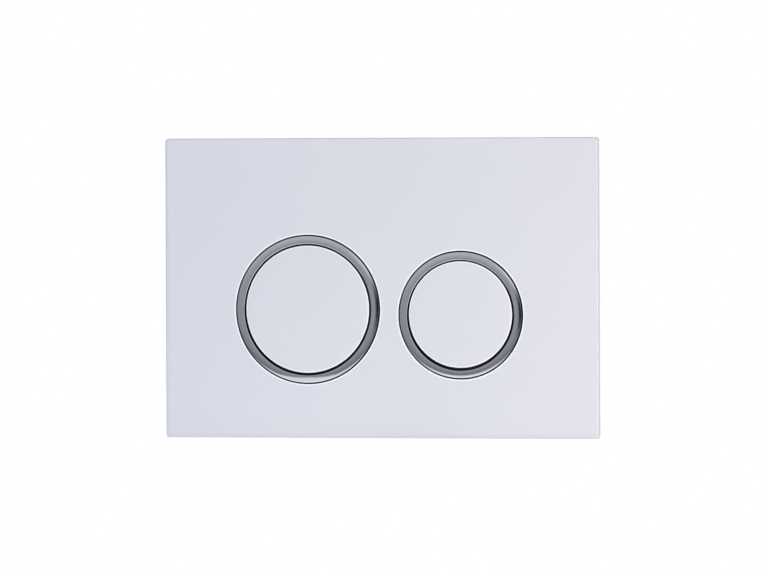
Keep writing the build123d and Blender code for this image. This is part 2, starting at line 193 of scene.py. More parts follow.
# Materials. Every one reads Object coordinates, so that its pattern stays on the piece
def newMaterial(name):
    material = bpy.data.materials.new(name)
    material.use_nodes = True
    tree = material.node_tree
    shader = tree.nodes["Principled BSDF"]
    place = tree.nodes.new("ShaderNodeTexCoord")
    return material, tree, shader, place


def addNoise(tree, place, scale, detail):
    noise = tree.nodes.new("ShaderNodeTexNoise")
    noise.inputs["Scale"].default_value = scale
    noise.inputs["Detail"].default_value = detail
    tree.links.new(place.outputs["Object"], noise.inputs["Vector"])
    return noise.outputs["Fac"]


def mapValue(tree, source, low, high, fromLow=0.3, fromHigh=0.7):
    ramp = tree.nodes.new("ShaderNodeMapRange")
    ramp.inputs["From Min"].default_value = fromLow
    ramp.inputs["From Max"].default_value = fromHigh
    ramp.inputs["To Min"].default_value = low
    ramp.inputs["To Max"].default_value = high
    tree.links.new(source, ramp.inputs["Value"])
    return ramp.outputs["Result"]


def calculate(tree, operation, first, second):
    node = tree.nodes.new("ShaderNodeMath")
    node.operation = operation
    for socket, value in zip(node.inputs, (first, second)):
        if isinstance(value, (int, float)):
            socket.default_value = value
        else:
            tree.links.new(value, socket)
    return node.outputs["Value"]


def mixColours(tree, factor, first, second):
    # A colour is given as three numbers, or as another node's output
    mix = tree.nodes.new("ShaderNodeMix")
    mix.data_type = "RGBA"
    tree.links.new(factor, mix.inputs[0])
    for socket, colour in ((mix.inputs[6], first), (mix.inputs[7], second)):
        if isinstance(colour, tuple):
            socket.default_value = (*colour, 1)
        else:
            tree.links.new(colour, socket)
    return mix.outputs[2]


def addBump(tree, shader, height, strength, distance):
    bump = tree.nodes.new("ShaderNodeBump")
    bump.inputs["Strength"].default_value = strength
    bump.inputs["Distance"].default_value = distance
    tree.links.new(height, bump.inputs["Height"])
    tree.links.new(bump.outputs["Normal"], shader.inputs["Normal"])


def makeFinish(name, look):
    # A moulded, plated or drawn surface: clouded colour, uneven gloss and a fine grain
    material, tree, shader, place = newMaterial(name)
    cloud = addNoise(tree, place, look["cloudScale"], detail=3.0)
    grain = addNoise(tree, place, look["grainScale"], detail=2.0)
    tree.links.new(mixColours(tree, mapValue(tree, cloud, 0, 1), *look["colours"]), shader.inputs["Base Color"])
    tree.links.new(mapValue(tree, grain, *look["roughness"]), shader.inputs["Roughness"])
    addBump(tree, shader, grain, look["grainStrength"], look["grainDepth"])
    shader.inputs["Metallic"].default_value = look.get("metallic", 0.0)
    shader.inputs["Specular IOR Level"].default_value = look.get("specular", 0.5)
    return material


def paintLightAndShade(material, walls):
    # Painted highlights lighten the edges, and painted shade darkens the walls inside the narrow gaps
    tree = material.node_tree
    shader = tree.nodes["Principled BSDF"]
    place = next(node for node in tree.nodes if node.type == "TEX_COORD")
    axes = tree.nodes.new("ShaderNodeSeparateXYZ")
    tree.links.new(place.outputs["Object"], axes.inputs["Vector"])
    surface = shader.inputs["Base Color"].links[0].from_socket
    for share, colour in walls(tree, axes):
        surface = mixColours(tree, share, surface, colour)
    tree.links.new(surface, shader.inputs["Base Color"])


# Painted highlight and painted shade of the gaps and edges. Each band begins at its first distance from a rim
# and is full at its second
paintedGapLook = {
    # dark is the painted shade in the gaps, and edge the painted highlight on the rims
    "dark": (0.012, 0.012, 0.013),
    "edge": (0.97, 0.98, 1.0),
    "runningGap": 0.5 * mm,  # between ring and plate
    # the hole and disc rims get a painted highlight, and the walls of the gaps and the ring's rims get painted
    # shade
    "holeEdge": (0.85 * mm, 0.60 * mm),
    "holeWall": (0.15 * mm, 0.04 * mm),
    "discEdge": (-0.80 * mm, -0.55 * mm),
    "discWall": (-0.19 * mm, -0.09 * mm),
    "ringWidth": 3.85 * mm,
    "ringInside": (0.24 * mm, 0.12 * mm),
    # the painted shade inside the ring reaches further at the bottom
    "insideDrop": 0.2 * mm,  # the band inside the ring is wider at the bottom
    "ringOutside": (-0.20 * mm, -0.09 * mm),
    # these lift the painted shade on the hole walls where the Ambient Occlusion node finds them open
    "wallStart": (0.05 * mm, 0.01 * mm),
    "wallReach": 3 * mm,
    "wallOpen": (0.55, 0.75),
    # painted shade darkens the plate's left and bottom edges
    "shade": (0.60, 0.635, 0.69),  # of the plate's left and bottom edges
    "shadeDepth": 0.75,
    "shadeWidth": 2.2 * mm,
}
notLifted = {button: 0 for button in buttons}


def rimDistance(tree, axes, kind, lifts):
    # How far a point lies outside the rim of the nearer button's ring or disc
    reaches = []
    for button in buttons:
        low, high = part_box(f"{button}_{kind}")
        across = tree.nodes.new("ShaderNodeCombineXYZ")
        tree.links.new(axes.outputs["X"], across.inputs["X"])
        tree.links.new(axes.outputs["Z"], across.inputs["Z"])
        apart = tree.nodes.new("ShaderNodeVectorMath")
        apart.operation = "DISTANCE"
        apart.inputs[1].default_value = ((low.x + high.x) / 2, 0, (low.z + high.z) / 2 + lifts[button])
        tree.links.new(across.outputs["Vector"], apart.inputs[0])
        reaches.append(calculate(tree, "SUBTRACT", apart.outputs["Value"], (high.x - low.x) / 2))
    return calculate(tree, "MINIMUM", *reaches)


def holePaintedLight(tree, axes):
    low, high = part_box("cover_plate")
    # Painted shade darkens the plate's left and bottom edges
    for axis, start in (("X", low.x), ("Z", low.z)):
        end = start + paintedGapLook["shadeWidth"]
        yield mapValue(tree, axes.outputs[axis], paintedGapLook["shadeDepth"], 0, start, end), paintedGapLook["shade"]
    # A painted highlight lightens the plate round each hole, and painted shade darkens the hole's wall
    rim = rimDistance(tree, axes, "ring", notLifted)
    edge, wall, inside = [
        mapValue(tree, rim, 0, 1, *[paintedGapLook["runningGap"] + reach for reach in paintedGapLook[band]])
        for band in ("holeEdge", "holeWall", "wallStart")
    ]
    yield edge, paintedGapLook["edge"]
    # The painted shade leaves the wall white where a pressed button opens it to the light, as the Ambient
    # Occlusion node finds
    closed = tree.nodes.new("ShaderNodeAmbientOcclusion")
    closed.samples = 8
    closed.inputs["Distance"].default_value = paintedGapLook["wallReach"]
    lit = calculate(tree, "MULTIPLY", inside, mapValue(tree, closed.outputs["AO"], 0, 1, *paintedGapLook["wallOpen"]))
    yield calculate(tree, "MULTIPLY", wall, calculate(tree, "SUBTRACT", 1, lit)), paintedGapLook["dark"]


def ringPaintedShade(tree, axes):
    # Painted shade darkens the ring's inner rim, more at the bottom, and its outer rim beside the gaps
    dropped = {button: -paintedGapLook["insideDrop"] for button in buttons}
    inner = rimDistance(tree, axes, "ring", dropped)
    start, full = [reach - paintedGapLook["ringWidth"] for reach in paintedGapLook["ringInside"]]
    yield mapValue(tree, inner, 0, 1, start, full), paintedGapLook["dark"]
    outer = rimDistance(tree, axes, "ring", notLifted)
    yield mapValue(tree, outer, 0, 1, *paintedGapLook["ringOutside"]), paintedGapLook["dark"]


def discPaintedLight(tree, axes):
    # A painted highlight lightens the disc's rounded rim, and painted shade darkens its side wall in the gap
    rim = rimDistance(tree, axes, "disc", discLift)
    for band, colour in (("discEdge", "edge"), ("discWall", "dark")):
        yield mapValue(tree, rim, 0, 1, *paintedGapLook[band]), paintedGapLook[colour]


finishes = {
    "white_plate": {
        "colours": ((0.703, 0.731, 0.762), (0.715, 0.743, 0.772)),
        "cloudScale": 14, "grainScale": 2600, "grainStrength": 0.06, "grainDepth": 0.02 * mm,
        "roughness": (0.34, 0.42), "specular": 0.4,
    },
    "white_disc": {
        "colours": ((0.706, 0.733, 0.760), (0.718, 0.745, 0.770)),
        "cloudScale": 18, "grainScale": 2600, "grainStrength": 0.06, "grainDepth": 0.02 * mm,
        "roughness": (0.32, 0.40), "specular": 0.4,
    },
    "chromed_ring": {
        "colours": ((0.87, 0.88, 0.90), (0.91, 0.92, 0.94)),
        "cloudScale": 60, "grainScale": 900, "grainStrength": 0.05, "grainDepth": 0.01 * mm,
        "roughness": (0.09, 0.13), "metallic": 1.0,
    },
    "plunger_plastic": {
        "colours": ((0.028, 0.029, 0.031), (0.040, 0.041, 0.044)),
        "cloudScale": 45, "grainScale": 1500, "grainStrength": 0.25, "grainDepth": 0.05 * mm,
        "roughness": (0.42, 0.58),
    },
    "carrier_plastic": {
        "colours": ((0.27, 0.29, 0.31), (0.33, 0.35, 0.37)),
        "cloudScale": 22, "grainScale": 1300, "grainStrength": 0.25, "grainDepth": 0.05 * mm,
        "roughness": (0.40, 0.56),
    },
    "frame_plastic": {
        "colours": ((0.045, 0.047, 0.050), (0.065, 0.067, 0.071)),
        "cloudScale": 25, "grainScale": 1100, "grainStrength": 0.35, "grainDepth": 0.06 * mm,
        "roughness": (0.45, 0.62),
    },
    "spring_steel": {
        "colours": ((0.42, 0.42, 0.43), (0.58, 0.58, 0.59)),
        "cloudScale": 500, "grainScale": 2400, "grainStrength": 0.2, "grainDepth": 0.02 * mm,
        "roughness": (0.22, 0.38), "metallic": 1.0,
    },
    "rod_nylon": {
        "colours": ((0.66, 0.65, 0.60), (0.73, 0.72, 0.67)),
        "cloudScale": 60, "grainScale": 1400, "grainStrength": 0.2, "grainDepth": 0.04 * mm,
        "roughness": (0.38, 0.50),
    },
    "pad_rubber": {
        "colours": ((0.020, 0.020, 0.020), (0.032, 0.031, 0.030)),
        "cloudScale": 120, "grainScale": 1800, "grainStrength": 0.4, "grainDepth": 0.05 * mm,
        "roughness": (0.70, 0.85),
    },
    "zinc_steel": {
        "colours": ((0.50, 0.51, 0.50), (0.64, 0.64, 0.61)),
        "cloudScale": 260, "grainScale": 1900, "grainStrength": 0.15, "grainDepth": 0.02 * mm,
        "roughness": (0.28, 0.44), "metallic": 1.0,
    },
}
materials = {slotName: makeFinish(camel(slotName), look) for slotName, look in finishes.items()}
# The painted highlights and painted shade are mixed into the plate, disc and ring finishes
for slotName, walls in (("white_plate", holePaintedLight), ("white_disc", discPaintedLight), ("chromed_ring", ringPaintedShade)):
    paintLightAndShade(materials[slotName], walls)
slotOfNode = {part["node"]: part["material_slot"] for part in frame["record"]["subparts"]}
for nodeName, node in nodes.items():
    for slot in node.material_slots:
        slot.material = materials[slotOfNode[nodeName]]
print("materials made:", len(materials))


def finishPiece(piece, body, node, angle=35):
    smooth(piece, angle)
    piece.data.materials.clear()
    piece.data.materials.append(materials[slotOfNode[node]])
    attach(piece, body)
    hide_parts(node)


def nodeSpan(node):
    # Axis of a round node, its outer radius, and its front and rear levels
    low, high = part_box(node)
    return (low.x + high.x) / 2, (low.z + high.z) / 2, (high.x - low.x) / 2, -low.y, -high.y


# Chromed rings: gently bowed, a little higher at the inner lip, and hollow behind
ringLook = {
    "segments": 192,
    "width": 3.85 * mm,
    "rise": 0.5 * mm,
    "bowRadius": 12.0 * mm,
    "lipTop": 12.6 * mm,
    "lipRound": 0.55 * mm,
    "outerRound": 0.15 * mm,
    "lipDepth": 2.0 * mm,
    "innerWall": 1.2 * mm,
    "skirtWall": 1.4 * mm,
    "grooveLevel": 11.3 * mm,
    "bowSteps": 14,
    "roundSteps": 5,
}


def roundIntoBow(middle, bowRadius, radial, edgeRound):
    # Centre of an edge's round, and the angle at which it runs into the bow
    across = radial - middle[0]
    up = sqrt((bowRadius - edgeRound) ** 2 - across ** 2)
    return (radial, middle[1] + up), degrees(atan2(up, across))


def makeRing(name, x, z, outer, rear, look):
    inner = outer - look["width"]
    top = look["lipTop"]
    lean = atan2(look["rise"], look["width"])
    drop = sqrt(look["bowRadius"] ** 2 - hypot(look["width"], look["rise"]) ** 2 / 4)
    middle = ((inner + outer) / 2 - drop * sin(lean), top - look["rise"] / 2 - drop * cos(lean))
    bow, outerRound, lipRound = look["bowRadius"], look["outerRound"], look["lipRound"]
    shoulder, outerAngle = roundIntoBow(middle, bow, outer - outerRound, outerRound)
    lip, innerAngle = roundIntoBow(middle, bow, inner + lipRound, lipRound)
    outline = [(outer, rear)]
    outline += arcPoints(shoulder, outerRound, 0, outerAngle, look["roundSteps"])
    outline += arcPoints(middle, bow, outerAngle, innerAngle, look["bowSteps"])[1:-1]
    outline += arcPoints(lip, lipRound, innerAngle, 180, look["roundSteps"])
    outline += [
        (inner, top - look["lipDepth"]),
        (inner + look["innerWall"], top - look["lipDepth"]),
        (inner + look["innerWall"], look["grooveLevel"]),
        (outer - look["skirtWall"], look["grooveLevel"]),
        (outer - look["skirtWall"], rear),
        (outer, rear),
    ]
    return turnPiece(name, x, z, outline, look["segments"])


for button in buttons:
    x, z, outer, _, rear = nodeSpan(f"{button}_ring")
    ring = makeRing(camel(f"{button}_chromed_ring"), x, z, outer, rear, ringLook)
    finishPiece(ring, f"{button}_button", f"{button}_ring", angle=40)
print("chromed rings turned")


# White discs, softly rounded at the front edge, with a skirt behind
discLook = {
    "segments": 160, "edgeRound": 0.45 * mm, "edgeSteps": 6, "roof": 1.8 * mm, "skirtWall": 1.6 * mm,
    "rearCircles": (0.1, 0.5), "frontCircles": (0.8, 0.5, 0.1),  # shares of the radius
}


def makeDisc(name, x, z, outer, front, rear, look):
    roundness = look["edgeRound"]
    under = front - look["roof"]
    inside = outer - look["skirtWall"]
    outline = [(outer * share, under) for share in look["rearCircles"]]
    outline += [(inside, under), (inside, rear), (outer, rear)]
    outline += arcPoints((outer - roundness, front - roundness), roundness, 0, 90, look["edgeSteps"])
    outline += [(outer * share, front) for share in look["frontCircles"]]
    return turnPiece(name, x, z, outline, look["segments"])


for button in buttons:
    x, z, outer, front, rear = nodeSpan(f"{button}_disc")
    disc = makeDisc(camel(f"{button}_white_disc"), x, z + discLift[button], outer, front, rear, discLook)
    finishPiece(disc, f"{button}_button", f"{button}_disc")
print("white discs turned")


# Return springs: open coils between two closed end turns
springLook = {
    "wire": 0.6 * mm, "wireSides": 12, "stepsPerTurn": 36, "turns": 6.5, "endTurns": 1, "endGap": 0.05 * mm,
    "weld": 0.01 * mm,
}


def makeSpring(name, x, z, outer, front, rear, look):
    coilRadius = outer - look["wire"]
    start = front - look["wire"]
    length = front - rear - 2 * look["wire"]
    closedPitch = 2 * look["wire"] + look["endGap"]
    openTurns = look["turns"] - 2 * look["endTurns"]
    openPitch = (length - 2 * look["endTurns"] * closedPitch) / openTurns
    loop = arcPoints((coilRadius, 0), look["wire"], 0, 360, look["wireSides"])
    places = [
        (start, closedPitch, look["endTurns"], 0),
        (start - closedPitch * look["endTurns"], openPitch, openTurns, 0),
        (rear + look["wire"] + closedPitch * look["endTurns"], closedPitch, look["endTurns"], tau * openTurns),
    ]
    coils = [
        screwPiece(f"{name}{number}", x, z, level, loop, pitch, turns, look["stepsPerTurn"], phase)
        for number, (level, pitch, turns, phase) in enumerate(places)
    ]
    spring = joinPieces(*coils)
    spring.name = spring.data.name = name
    closeMesh(spring, merge=look["weld"])
    return spring


for button in buttons:
    x, z, outer, front, rear = nodeSpan(f"{button}_spring")
    spring = makeSpring(camel(f"{button}_return_spring"), x, z, outer, front, rear, springLook)
    finishPiece(spring, "plate", f"{button}_spring")
    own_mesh(spring)
print("return springs coiled")


# Threads: a solid rod is cut from a helical surface by a turned outline
threadLook = {
    "depth": 0.61, "flat": 1 / 8, "trim": 1 / 3, "spareTurns": 2,  # the first three in pitches
    "outside": 0.2 * mm,
}


def threadOutline(thread):
    root = thread["radius"] - threadLook["depth"] * thread["pitch"]
    flat = threadLook["flat"] * thread["pitch"]
    flank = (thread["pitch"] - 2 * flat) / 2
    return [
        (root, 0), (root, flat), (thread["radius"], flat + flank),
        (thread["radius"], 2 * flat + flank), (root, thread["pitch"]),
    ]


def makeThread(name, x, z, front, rear, thread):
    pitch, steps, spare = thread["pitch"], thread["steps"], threadLook["spareTurns"]
    turns = round((front - rear) / pitch) + 2 * spare
    piece = screwPiece(name, x, z, front + spare * pitch, threadOutline(thread), pitch, turns, steps)
    closeMesh(piece)
    trim = threadLook["trim"] * pitch
    for level, side in ((front + trim, -1), (rear - trim, 1)):
        bpy.ops.object.mode_set(mode="EDIT")
        bpy.ops.mesh.select_all(action="SELECT")
        bpy.ops.mesh.bisect(
            plane_co=(x, -level, z), plane_no=(0, side, 0), use_fill=True, clear_outer=True,
            threshold=mergeReach / 2,
        )
        bpy.ops.object.mode_set(mode="OBJECT")
    tip = thread["radius"] - thread["chamfer"]
    wide = thread["radius"] + threadLook["outside"]
    slope = thread["chamfer"] + threadLook["outside"]
    outline = [(tip, front), (wide, front - slope), (wide, rear + slope), (tip, rear)]
    combine(piece, turnPiece(f"{name}Outline", x, z, outline, steps), "INTERSECT")
    return piece


rodLook = {
    "thread": {"radius": 2.5 * mm, "pitch": 1.0 * mm, "chamfer": 0.4 * mm, "steps": 32},
    "spigotRadius": 2.0 * mm, "spigotLength": 15.0 * mm, "tipChamfer": 0.5 * mm, "sink": 0.5 * mm,
    "segments": 32,
}


def makeRod(name, x, z, front, rear, look):
    shoulder = rear + look["spigotLength"]
    rod = makeThread(name, x, z, front, shoulder, look["thread"])
    radius, chamfer = look["spigotRadius"], look["tipChamfer"]
    outline = [(radius, shoulder + look["sink"]), (radius, rear + chamfer), (radius - chamfer, rear)]
    return joinPieces(rod, turnPiece(f"{name}Spigot", x, z, outline, look["segments"]))


x, z, _, front, rear = nodeSpan("full_flush_push_rod")
firstRod = makeRod("fullFlushThreadedRod", x, z, front, rear, rodLook)
otherX, otherZ, *_ = nodeSpan("half_flush_push_rod")
secondRod = copyPiece(firstRod, "halfFlushThreadedRod", (otherX - x, 0, otherZ - z))
for button, rod in zip(buttons, (firstRod, secondRod)):
    finishPiece(rod, f"{button}_button", f"{button}_push_rod")
print("push rods threaded")


# Hexagon nuts: a six-sided block, its corners turned off by a cone at each end, and bored
def makeNut(name, x, z, front, rear, look):
    corner = look["acrossFlats"] / sqrt(3)
    selectNothing()
    bpy.ops.mesh.primitive_cylinder_add(
        vertices=6, radius=corner, depth=front - rear, location=(x, -(front + rear) / 2, z),
        rotation=(pi / 2, look["turn"], 0),
    )
    nut = namePiece(name)
    applyPlace(nut)
    face = look["acrossFlats"] / 2 * look["faceShare"]
    wide = corner + look["coneOutside"]
    slope = (wide - face) * tan(radians(look["chamferAngle"]))
    cone = [(face, front), (wide, front - slope), (wide, rear + slope), (face, rear)]
    combine(nut, turnPiece(f"{name}Cone", x, z, cone, look["segments"]), "INTERSECT")
    bore, mouth = look["bore"], look["bore"] + look["countersink"]
    hole = [
        (mouth + cutterReach, front + cutterReach), (mouth, front), (bore, front - look["countersink"]),
        (bore, rear + look["countersink"]), (mouth, rear), (mouth + cutterReach, rear - cutterReach),
    ]
    combine(nut, turnPiece(f"{name}Hole", x, z, hole, look["segments"]), "DIFFERENCE")
    return nut


nutLook = {"turn": 0, "coneOutside": 0.3 * mm, "chamferAngle": 30, "segments": 48}
lockNutLook = {
    **nutLook, "acrossFlats": 9.0 * mm, "bore": 2.5 * mm, "countersink": 0.35 * mm, "faceShare": 0.96,
}
boltNutLook = {
    **nutLook, "acrossFlats": 10.0 * mm, "bore": 3.0 * mm, "countersink": 0.4 * mm, "faceShare": 0.95,
}


def makeNutPair(names, nodeNames, bodies, look):
    x, z, _, front, rear = nodeSpan(nodeNames[0])
    otherX, otherZ, *_ = nodeSpan(nodeNames[1])
    first = makeNut(names[0], x, z, front, rear, look)
    second = copyPiece(first, names[1], (otherX - x, 0, otherZ - z))
    for nut, body, nodeName in zip((first, second), bodies, nodeNames):
        finishPiece(nut, body, nodeName, angle=20)


makeNutPair(
    ("fullFlushLockNut", "halfFlushLockNut"), ("full_flush_lock_nut", "half_flush_lock_nut"),
    ("full_flush_button", "half_flush_button"), lockNutLook,
)
makeNutPair(
    ("leftBoltNut", "rightBoltNut"), ("left_bolt_nut", "right_bolt_nut"), ("plate", "plate"), boltNutLook,
)
print("nuts cut")


# Washers with broken edges
washerLook = {"bore": 3.25 * mm, "edge": 0.15 * mm, "segments": 96}


def makeWasher(name, x, z, outer, front, rear, look):
    bore, edge = look["bore"], look["edge"]
    outline = [
        (bore, front - edge), (bore + edge, front), (outer - edge, front), (outer, front - edge),
        (outer, rear + edge), (outer - edge, rear), (bore + edge, rear), (bore, rear + edge),
        (bore, front - edge),
    ]
    return turnPiece(name, x, z, outline, look["segments"])


for side in sides:
    washer = makeWasher(camel(f"{side}_bevelled_washer"), *nodeSpan(f"{side}_bolt_washer"), washerLook)
    finishPiece(washer, "plate", f"{side}_bolt_washer")
print("washers turned")


# Distance bolts: a fluted head with a driver slot, a long thread and a thinner threaded end
boltLook = {
    "headHeight": 3.5 * mm, "headEdge": 0.4 * mm, "flutes": 12, "fluteRadius": 0.9 * mm, "fluteSides": 20,
    "slotWidth": 1.4 * mm, "slotDepth": 1.5 * mm, "slotSpan": 2.2,  # the span in head radii
    "endLength": 16.0 * mm, "segments": 96,
    "thread": {"radius": 3.0 * mm, "pitch": 1.0 * mm, "chamfer": 0.4 * mm, "steps": 36},
    "endThread": {"radius": 2.5 * mm, "pitch": 0.8 * mm, "chamfer": 0.5 * mm, "steps": 32},
    "overlap": 0.4 * mm,
}


def makeBolt(name, x, z, outer, front, rear, look):
    under = front - look["headHeight"]
    edge = look["headEdge"]
    outline = [(outer - edge, front), (outer, front - edge), (outer, under + edge), (outer - edge, under)]
    head = turnPiece(f"{name}Head", x, z, outline, look["segments"])
    for flute in range(look["flutes"]):
        angle = tau * flute / look["flutes"]
        selectNothing()
        bpy.ops.mesh.primitive_cylinder_add(
            vertices=look["fluteSides"], radius=look["fluteRadius"], depth=look["headHeight"] + 2 * cutterReach,
            location=(x + outer * cos(angle), -(front + under) / 2, z + outer * sin(angle)),
            rotation=(pi / 2, 0, 0),
        )
        combine(head, namePiece("flute"), "DIFFERENCE")
    selectNothing()
    bpy.ops.mesh.primitive_cube_add(size=1, location=(x, -front, z))
    slotSize = (look["slotSpan"] * outer, 2 * look["slotDepth"], look["slotWidth"])
    bpy.ops.transform.resize(value=slotSize, center_override=(x, -front, z))
    driverSlot = namePiece("driverSlot")
    applyPlace(driverSlot)
    combine(head, driverSlot, "DIFFERENCE")
    shoulder = rear + look["endLength"]
    shank = makeThread(f"{name}Shank", x, z, under + look["overlap"], shoulder, look["thread"])
    end = makeThread(f"{name}End", x, z, shoulder + look["overlap"], rear, look["endThread"])
    bolt = joinPieces(head, shank, end)
    bolt.name = bolt.data.name = name
    return bolt


x, z, outer, front, rear = nodeSpan("left_distance_bolt")
firstBolt = makeBolt("leftThreadedBolt", x, z, outer, front, rear, boltLook)
otherX, otherZ, *_ = nodeSpan("right_distance_bolt")
secondBolt = copyPiece(firstBolt, "rightThreadedBolt", (otherX - x, 0, otherZ - z))
for side, bolt in zip(sides, (firstBolt, secondBolt)):
    finishPiece(bolt, "plate", f"{side}_distance_bolt")
print("distance bolts threaded")


# Carrier screws: rounded pan heads with a cross recess, and a coarse thread in the bosses
screwLook = {
    "headHeight": 1.9 * mm, "headRound": 1.3 * mm, "segments": 56, "roundSteps": 7,
    "recessSpan": 3.3 * mm, "recessWidth": 0.75 * mm, "recessDepth": 1.15 * mm, "recessTaper": 0.45,
    "recessStart": 0.3 * mm, "faceCircle": 0.4,  # the circle in head radii
    "apart": 8 * mm,  # vertices nearer than this belong to one screw
    "tipLength": 1.6 * mm, "tipRadius": 0.35 * mm, "overlap": 0.3 * mm,
    "thread": {"radius": 1.4 * mm, "pitch": 1.2 * mm, "chamfer": 0.3 * mm, "steps": 24},
}


def solidPlaces(nodeName, reach):
    # The axes of a node's separate round solids, found by grouping its vertices
    groups = []
    node = nodes[nodeName]
    for vertex in node.data.vertices:
        point = node.matrix_world @ vertex.co
        for group in groups:
            if abs(group[0].x - point.x) < reach and abs(group[0].z - point.z) < reach:
                group.append(point)
                break
        else:
            groups.append([point])
    spans = [([point.x for point in group], [point.z for point in group]) for group in groups]
    return [((min(xs) + max(xs)) / 2, (min(zs) + max(zs)) / 2) for xs, zs in spans]


def makeScrew(name, x, z, outer, front, rear, look):
    seat = rear + look["headHeight"]
    roundness = look["headRound"]
    outline = [(look["thread"]["radius"], seat), (outer, seat)]
    outline += arcPoints((outer - roundness, rear + roundness), roundness, 0, -90, look["roundSteps"])[:-1]
    outline += [(outer - roundness, rear), (look["faceCircle"] * outer, rear)]
    head = turnPiece(name, x, z, outline, look["segments"])
    middle = (x, look["recessStart"] - rear, z)
    deep = look["recessStart"] + look["recessDepth"]
    for angle in (0, pi / 2):
        selectNothing()
        bpy.ops.mesh.primitive_plane_add(size=1, location=middle, rotation=(pi / 2, 0, 0))
        wing = namePiece("recessWing")
        applyPlace(wing)
        bpy.ops.object.mode_set(mode="EDIT")
        bpy.ops.mesh.select_all(action="SELECT")
        bpy.ops.transform.resize(value=(look["recessSpan"], 1, look["recessWidth"]), center_override=middle)
        bpy.ops.mesh.extrude_region_move(TRANSFORM_OT_translate={"value": (0, -deep, 0)})
        bpy.ops.transform.resize(value=(look["recessTaper"], 1, 1), center_override=middle)
        bpy.ops.mesh.select_all(action="SELECT")
        bpy.ops.transform.rotate(value=angle, orient_axis="Y", center_override=middle)
        bpy.ops.object.mode_set(mode="OBJECT")
        closeMesh(wing)
        combine(head, wing, "DIFFERENCE")
    tipStart = front - look["tipLength"]
    shank = makeThread(f"{name}Thread", x, z, tipStart, seat - look["overlap"], look["thread"])
    core = look["thread"]["radius"] - look["thread"]["chamfer"]
    outline = [(core, tipStart - look["overlap"]), (core, tipStart), (look["tipRadius"], front)]
    tip = turnPiece(f"{name}Tip", x, z, outline, look["thread"]["steps"])
    return joinPieces(head, shank, tip)


low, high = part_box("carrier_screws")
(firstX, firstZ), *otherPlaces = sorted(solidPlaces("carrier_screws", screwLook["apart"]))
firstScrew = makeScrew("carrierScrews", firstX, firstZ, firstX - low.x, -low.y, -high.y, screwLook)
copies = [
    copyPiece(firstScrew, f"carrierScrew{number}", (placeX - firstX, 0, placeZ - firstZ))
    for number, (placeX, placeZ) in enumerate(otherPlaces)
]
carrierScrews = joinPieces(firstScrew, *copies)
finishPiece(carrierScrews, "plate", "carrier_screws", angle=30)
print("carrier screws cut:", 1 + len(copies))


# Soft light, a pale floor well below the part, and the camera at the photograph's angle, in degrees
plateFront = Vector((0, -12 * mm, 0))
behindPart = Vector((0, 20 * mm, 0))
cameraLook = {
    "turn": 15.0, "lift": 0.9, "roll": -0.24, "distance": 4.6, "shiftRight": 1.63 * mm, "shiftUp": 0.0 * mm,
    "pixelSize": 0.4729 * mm, "imageWidth": 768, "sensorWidth": 36, "clipEnd": 50,
}


def aim(thing, target):
    thing.rotation_euler = (target - thing.location).to_track_quat("-Z", "Y").to_euler()


def placeCamera(look):
    turn, lift = radians(look["turn"]), radians(look["lift"])
    back = Vector((sin(turn) * cos(lift), -cos(turn) * cos(lift), sin(lift)))
    right = Vector((cos(turn), sin(turn), 0))
    target = plateFront + right * look["shiftRight"] + Vector((0, 0, look["shiftUp"]))
    bpy.ops.object.camera_add(location=target + back * look["distance"])
    camera = bpy.context.object
    camera.name = "photoCamera"
    camera.data.sensor_width = look["sensorWidth"]
    camera.data.lens = look["distance"] * look["sensorWidth"] / look["imageWidth"] / look["pixelSize"]
    camera.data.clip_end = look["clipEnd"]
    aim(camera, target)
    camera.rotation_euler.rotate_axis("Z", radians(look["roll"]))
    bpy.context.scene.camera = camera


lampLook = {
    "frontSoftbox": {
        "place": (0.9, -2.0, 0.5), "target": plateFront, "size": (1.6, 1.6), "watts": 5.4,
        "colour": (0.78, 1, 0.75),
    },
    "rightSoftbox": {
        "place": (0.9, -0.7, -0.1), "target": plateFront, "size": (0.6, 0.7), "watts": 6.9,
        "colour": (1, 0.69, 0.55),
    },
    "lowSoftbox": {
        "place": (0.2, -2.4, -0.75), "target": plateFront, "size": (1.2, 0.8), "watts": 27.2,
        "colour": (0.62, 0.74, 1),
    },
    "rearSoftbox": {
        "place": (-0.9, 1.9, 1.1), "target": behindPart, "size": (1.6, 1.6), "watts": 22, "colour": (1, 1, 1),
    },
}


def addLamp(name, look):
    bpy.ops.object.light_add(type="AREA", location=look["place"])
    lamp = bpy.context.object
    lamp.name = name
    lamp.data.shape = "RECTANGLE"
    lamp.data.size, lamp.data.size_y = look["size"]
    lamp.data.energy = look["watts"]
    lamp.data.color = look["colour"]
    lamp.visible_camera = False
    lamp.visible_glossy = False  # metal sees the room alone
    aim(lamp, look["target"])


# The room's grey by height, then its layers, each with its brightness, place and soft edge
worldLook = {
    "backdrop": (1.0, 1.0, 1.0), "ambient": (0.36, 0.37, 0.39), "tint": (0.955, 1.0, 1.10),
    "room": (
        (-0.40, 0.13), (-0.30, 0.15), (-0.14, 0.25), (0.0, 0.285), (0.10, 0.30), (0.16, 0.34), (0.23, 0.39),
        (0.40, 0.44), (0.75, 0.62), (1.0, 0.70),
    ),
    "rightSide": 0.80, "rightEdge": (0.36, 0.50),
    "floor": 0.72, "floorEdge": (-0.34, -0.40),
    "dark": 0.0, "darkPlace": (0.2215, -0.975, 0), "darkEdge": (0.978, 0.9995),
    "patch": 0.60, "patchPlace": (0.14, -0.95, 0.30), "patchEdge": (0.988, 0.998),
    "rearWall": 1, "rearEdge": (0.02, 0.12),
}


